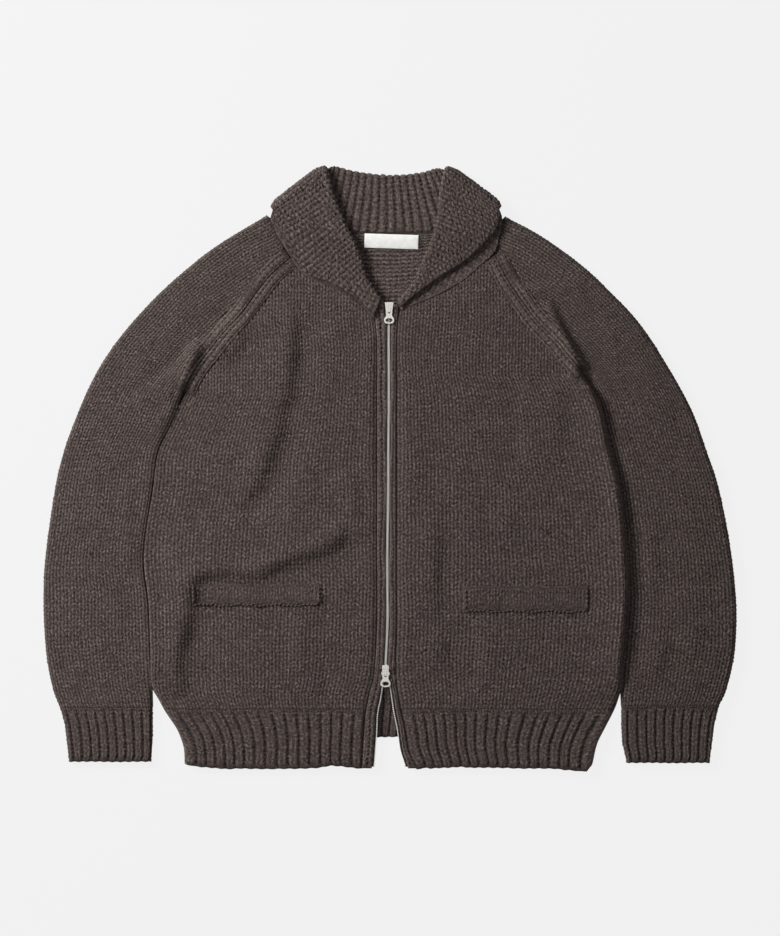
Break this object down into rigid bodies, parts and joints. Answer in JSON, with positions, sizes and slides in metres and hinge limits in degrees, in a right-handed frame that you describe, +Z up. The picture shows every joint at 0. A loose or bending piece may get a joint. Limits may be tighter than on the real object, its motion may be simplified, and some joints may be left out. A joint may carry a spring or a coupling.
{
  "type": "cowichan cardigan",
  "caption": "Bulky knitted raglan cardigan with a ribbed shawl collar, two-way zip, welt pockets, ribbed hem and cuffs, laid flat on its back.",
  "frame": {"origin": "centre of the bounding box in plan, on the surface that the cardigan lies on", "axes": "+X to the wearer's left sleeve, +Y from hem to collar, +Z up, out of the fronts"},
  "size_m": [0.9, 0.7802, 0.0217],
  "materials": {
    "wool_knit": "bulky dark brown heather stocking stitch",
    "wool_rib": "bulky dark brown heather one-by-one rib",
    "label_weave": "blank white woven tape",
    "zip_tape": "dark woven tape with a chain of metal teeth",
    "zip_metal": "polished"
  },
  "bodies": {
    "cardigan": {"back": "wool_knit", "front_right": "wool_knit", "front_left": "wool_knit", "sleeve_right": "wool_knit", "sleeve_left": "wool_knit", "collar": "wool_rib", "hem_back": "wool_rib", "hem_front_right": "wool_rib", "hem_front_left": "wool_rib", "cuff_right": "wool_rib", "cuff_left": "wool_rib", "band_right": "wool_knit", "band_left": "wool_knit", "welt_right": "wool_knit", "welt_left": "wool_knit", "label": "label_weave", "zip_right": "zip_tape", "zip_left": "zip_tape", "slider_top": "zip_metal", "slider_bottom": "zip_metal"},
    "top_pull": {"pull_top": "zip_metal"},
    "bottom_pull": {"pull_bottom": "zip_metal"}
  },
  "joints": [
    {"name": "top_pull_hinge", "type": "hinge", "parent": "cardigan", "child": "top_pull", "pos_m": [-0.0012, 0.208, 0.0127], "axis": [-1, 0, 0], "range_deg": [0, 150]},
    {"name": "bottom_pull_hinge", "type": "hinge", "parent": "cardigan", "child": "bottom_pull", "pos_m": [-0.0059, -0.2624, 0.0127], "axis": [-1, 0, 0], "range_deg": [0, 150]}
  ]
}
